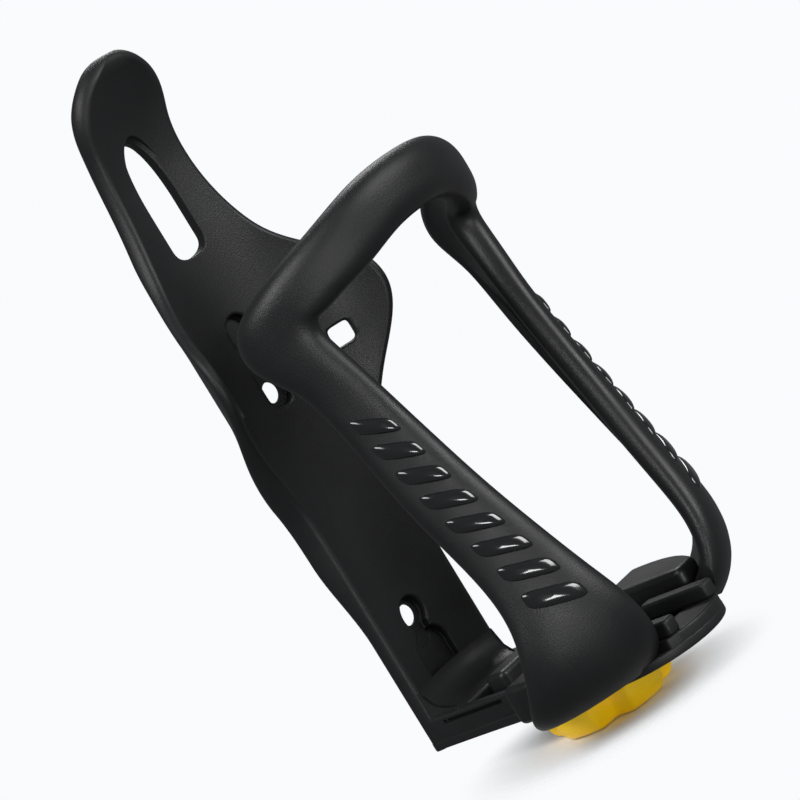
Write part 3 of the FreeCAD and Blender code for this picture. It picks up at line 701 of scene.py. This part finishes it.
class CAGE_OT_grip_pads(bpy.types.Operator):
    """Raised slanted pads down the outside of both arms"""
    bl_idname = "cage.grip_pads"
    bl_label = "Grip pads"

    def execute(self, context):
        settings = context.scene.cage_loop
        shells = []
        per_arm, first, step, half_length, half_width, slant = 8, 0.108, 0.0222, 0.0068, 0.5, 0.012
        u = np.linspace(0, 2 * math.pi, 40, endpoint=False)[None]
        # rings from the pad's middle out to its rim and down into the arm: share of its size, height in mm
        rings = np.array([(0.0, 0.95), (0.25, 0.93), (0.5, 0.84), (0.7, 0.68), (0.86, 0.46), (0.96, 0.22),
                          (1.0, 0.0), (1.0, -0.6), (0.5, -0.6)])
        grow, rise = rings[:, :1], rings[:, 1:]
        along = power(np.sin(u), 0.5) * half_length * grow
        c = power(np.cos(u), 0.5) * half_width * grow
        for other_arm in (False, True):
            for n in range(per_arm):
                t = first + n * step + along + c * slant
                t = 1 - t if other_arm else t
                shells.append(tube(band_point(t, c, band_lift(t, c, settings) + rise)))
        pads = build("grip_pads", shells)
        finish_piece(pads, bpy.data.materials["black_gloss"], "loop")
        return {"FINISHED"}


# ---- knob ---------------------------------------------------------------------------------------------

def knob_surface():
    """The knob. Row: a point of its profile (radius, distance down), from the middle of the top round the flange,
    down the grip and in under it. Ring: angle. Below the flange the radius dips by a scallop, depth times the
    five-fold wave max(0, cos 5(a - lead))^1.3, and the grip narrows downwards."""
    height = KNOB_TOP - KNOB_BOTTOM
    profile = [(0.0, 0.0), (8.0, 0.0), (KNOB_R - 1.2, 0.0), (KNOB_R - 0.45, 0.15), (KNOB_R - 0.06, 0.6),
               (KNOB_R, 1.1), (KNOB_R - 0.05, 1.6), (KNOB_R - 0.25, 2.0), (KNOB_R - 0.35, 2.4), (KNOB_R - 0.4, 3.2),
               (KNOB_R - 0.5, 4.4), (KNOB_R - 0.8, 5.8), (KNOB_R - 1.4, 7.2), (KNOB_R - 2.1, 8.1),
               (KNOB_R - 3.1, 8.7), (KNOB_R - 4.4, height), (8.4, height), (6.4, height), (5.6, height - 0.35),
               (5.2, height - 1.0), (4.3, 5.6), (4.2, 5.02), (1.75, 5.0), (1.7, 3.0), (0.0, 3.0)]
    knots = np.arange(len(profile), dtype=float)
    s = np.linspace(0, len(profile) - 1, 150)
    points = np.stack([np.interp(s, knots, np.array(profile)[:, k]) for k in (0, 1)], -1)
    angle = np.linspace(0, 2 * math.pi, 240, endpoint=False)[None]
    scallops, lead, scallop_depth, core_r, grip_end = 5, math.radians(-142.0), 3.6, 7.6, 17
    wave = np.clip(np.cos(scallops * (angle - lead)), 0, 1) ** 1.3
    down = smoothstep(1.5, 2.6, points[:, 1:]) * smoothstep(6.0, 9.5, points[:, :1])
    depth = scallop_depth * wave * down * np.where(s[:, None] < grip_end, 1, 0)
    radius = np.maximum(points[:, :1] - depth, np.minimum(points[:, :1], core_r))
    radius = np.maximum(radius, 0.01)
    x = radius * np.cos(angle)
    fwd = KNOB_FWD - radius * np.sin(angle)
    return tube(place(x, fwd, KNOB_TOP - points[:, 1:] + 0 * angle))


class CAGE_OT_knob(bpy.types.Operator):
    """Round adjusting knob with finger scallops, under the base"""
    bl_idname = "cage.knob"
    bl_label = "Knob"

    def execute(self, context):
        knob = build("finger_knob", [knob_surface()])
        finish_piece(knob, bpy.data.materials["yellow_knob"], "adjuster", "adjuster_knob", 50.0)
        return {"FINISHED"}


class CAGE_OT_hardware(bpy.types.Operator):
    """Finishes of the gear, screw and washers, which keep their CAD shapes"""
    bl_idname = "cage.hardware"
    bl_label = "Hardware"

    def execute(self, context):
        finishes = {
            "drive_gear": moulded_plastic("natural_acetal", (0.72, 0.70, 0.64), 0.4, 1800.0, 0.1),
            "thrust_washer": moulded_plastic("natural_nylon", (0.78, 0.77, 0.72), 0.5, 1500.0, 0.15),
            "knob_screw": plated_steel("plated_screw", (0.62, 0.62, 0.63), 0.26),
            "screw_washer": plated_steel("plated_washer", (0.66, 0.66, 0.67), 0.3),
        }
        for node, finish in finishes.items():
            mesh = frame["nodes"][node].data
            mesh.materials.clear()
            mesh.materials.append(finish)
        return {"FINISHED"}


class CAGE_OT_finishes(bpy.types.Operator):
    """Materials of the three mouldings"""
    bl_idname = "cage.finishes"
    bl_label = "Finishes"

    def execute(self, context):
        colours = context.scene.cage_finish
        moulded_plastic("black_body", tuple(colours.black), 0.46, 2600.0, 0.35)
        moulded_plastic("black_loop", tuple(colours.black), 0.42, 2600.0, 0.30)
        moulded_plastic("black_gloss", tuple(colours.black), 0.16, 900.0, 0.04, 0.6, 0.04)
        moulded_plastic("yellow_knob", tuple(colours.yellow), 0.33, 1200.0, 0.05, 0.3, 0.05)
        return {"FINISHED"}


# ---- stage --------------------------------------------------------------------------------------------

def floor_material():
    """Pale matt floor that fades out to the backdrop with distance from the cage."""
    material = bpy.data.materials.new("pale_floor")
    material.use_nodes = True
    nodes, links = material.node_tree.nodes, material.node_tree.links
    shader = nodes["Principled BSDF"]
    shader.inputs["Base Color"].default_value = (0.93, 0.94, 0.955, 1)
    shader.inputs["Roughness"].default_value = 0.9
    shader.inputs["Specular IOR Level"].default_value = 0.1
    place_node = nodes.new("ShaderNodeTexCoord")
    away = nodes.new("ShaderNodeVectorMath")
    away.operation = "DISTANCE"
    away.inputs[1].default_value = (0.0, -KNOB_FWD * MM, KNOB_BOTTOM * MM)
    fade = nodes.new("ShaderNodeMapRange")
    fade.interpolation_type = "SMOOTHSTEP"
    fade.inputs["From Min"].default_value = 0.012
    fade.inputs["From Max"].default_value = 0.045
    fade.inputs["To Min"].default_value = 1.0
    fade.inputs["To Max"].default_value = 0.0
    links.new(place_node.outputs["Object"], away.inputs[0])
    links.new(away.outputs["Value"], fade.inputs["Value"])
    links.new(fade.outputs["Result"], shader.inputs["Alpha"])
    return material


def soft_light(name, location, aim, width, height, watts):
    """A rectangular soft light at a place, turned to face a point."""
    data = bpy.data.lights.new(name, "AREA")
    data.shape = "RECTANGLE"
    data.size, data.size_y = width, height
    data.energy = watts
    lamp = bpy.data.objects.new(name, data)
    lamp.location = location
    lamp.rotation_euler = (Vector(aim) - Vector(location)).to_track_quat("-Z", "Y").to_euler()
    bpy.context.scene.collection.objects.link(lamp)


class CAGE_OT_stage(bpy.types.Operator):
    """Camera, pale floor, backdrop and soft lights"""
    bl_idname = "cage.stage"
    bl_label = "Stage"

    def execute(self, context):
        scene = context.scene
        azimuth, elevation, roll = math.radians(-47.13), math.radians(5.93), math.radians(31.27)
        distance = 0.70739
        aim = Vector((0.0006, -0.0354, 0.01647))
        level = math.cos(elevation)
        back = Vector((math.sin(azimuth) * level, -math.cos(azimuth) * level, math.sin(elevation)))
        right = Vector((math.cos(azimuth), math.sin(azimuth), 0))
        up = back.cross(right)
        turned_up = up * math.cos(roll) + right * math.sin(roll)
        turned_right = right * math.cos(roll) - up * math.sin(roll)
        data = bpy.data.cameras.new("camera")
        data.sensor_width = 36.0
        data.lens = 135.28
        data.clip_start, data.clip_end = 0.01, 20.0
        camera = bpy.data.objects.new("camera", data)
        turn = Matrix((turned_right, turned_up, back)).transposed().to_4x4()
        camera.matrix_world = Matrix.Translation(aim + back * distance) @ turn
        scene.collection.objects.link(camera)
        scene.camera = camera

        scene.view_settings.view_transform = "Standard"
        world = bpy.data.worlds.new("backdrop")
        scene.world = world
        world.use_nodes = True
        sky = world.node_tree.nodes["Background"]
        sky.inputs["Color"].default_value = (0.97, 0.98, 1.0, 1)
        sky.inputs["Strength"].default_value = 0.17

        dome_r = 4000.0
        u, v = np.meshgrid(np.linspace(0, 2 * math.pi, 48, endpoint=False), np.linspace(0.02, math.pi - 0.02, 24))
        dome = build("dome", [tube(dome_r * np.stack([np.sin(v) * np.cos(u), np.sin(v) * np.sin(u), np.cos(v)], -1))])
        glow = bpy.data.materials.new("white_backdrop")
        glow.use_nodes = True
        lit = glow.node_tree.nodes.new("ShaderNodeEmission")
        lit.inputs["Color"].default_value = (0.947, 0.965, 0.982, 1)
        glow.node_tree.links.new(lit.outputs["Emission"], glow.node_tree.nodes["Material Output"].inputs["Surface"])
        dome.data.materials.append(glow)
        dome.visible_diffuse = dome.visible_glossy = dome.visible_transmission = dome.visible_shadow = False

        # a round floor just under the knob
        a = np.linspace(0, 2 * math.pi, 96, endpoint=False)
        floor_r, floor_z = 0.3, KNOB_BOTTOM * MM - 0.0001
        disc = np.stack([floor_r * np.cos(a), -0.045 + floor_r * np.sin(a), np.full(len(a), floor_z)], -1)
        mesh = bpy.data.meshes.new("floor")
        mesh.from_pydata(disc.tolist(), [], [list(range(len(a)))])
        floor = bpy.data.objects.new("floor", mesh)
        mesh.materials.append(floor_material())
        scene.collection.objects.link(floor)

        middle = (0.0, -0.03, 0.02)
        soft_light("key_left", (-0.72, -0.10, 0.60), middle, 0.45, 0.45, 6.5)
        soft_light("front_right", (0.30, -0.90, 0.42), middle, 0.40, 0.40, 6.0)
        soft_light("rear_right", (0.55, 0.30, 0.75), middle, 0.35, 0.35, 4.0)
        soft_light("knob_fill", (-0.35, -0.55, -0.02), (0.0, -0.045, -0.065), 0.18, 0.10, 1.1)
        return {"FINISHED"}


# ---- panel and registration ---------------------------------------------------------------------------

BUILD_ORDER = ("finishes", "stage", "back_plate", "base", "front_loop", "grip_pads", "knob", "hardware")


class CAGE_PT_panel(bpy.types.Panel):
    """Lists the steps that build the cage"""
    bl_idname = "CAGE_PT_panel"
    bl_label = "Bottle cage"
    bl_space_type = "VIEW_3D"
    bl_region_type = "UI"
    bl_category = "Bottle cage"

    def draw(self, context):
        for group in (context.scene.cage_plate, context.scene.cage_loop, context.scene.cage_finish):
            for name in group.__annotations__:
                self.layout.prop(group, name)
        for step in BUILD_ORDER:
            self.layout.operator("cage." + step)


CLASSES = (PlateSettings, LoopSettings, FinishSettings, CAGE_OT_finishes, CAGE_OT_stage, CAGE_OT_back_plate,
           CAGE_OT_base, CAGE_OT_front_loop, CAGE_OT_grip_pads, CAGE_OT_knob, CAGE_OT_hardware, CAGE_PT_panel)
GROUPS = {"cage_plate": PlateSettings, "cage_loop": LoopSettings, "cage_finish": FinishSettings}


def register():
    """Makes the settings, operators and panel known to Blender."""
    for item in CLASSES:
        bpy.utils.register_class(item)
    for name, group in GROUPS.items():
        setattr(bpy.types.Scene, name, bpy.props.PointerProperty(type=group))


def unregister():
    """Takes them away again."""
    for name in GROUPS:
        delattr(bpy.types.Scene, name)
    for item in reversed(CLASSES):
        bpy.utils.unregister_class(item)


def main():
    register()
    for step in BUILD_ORDER:
        getattr(bpy.ops.cage, step)()


if __name__ == "__main__":
    main()
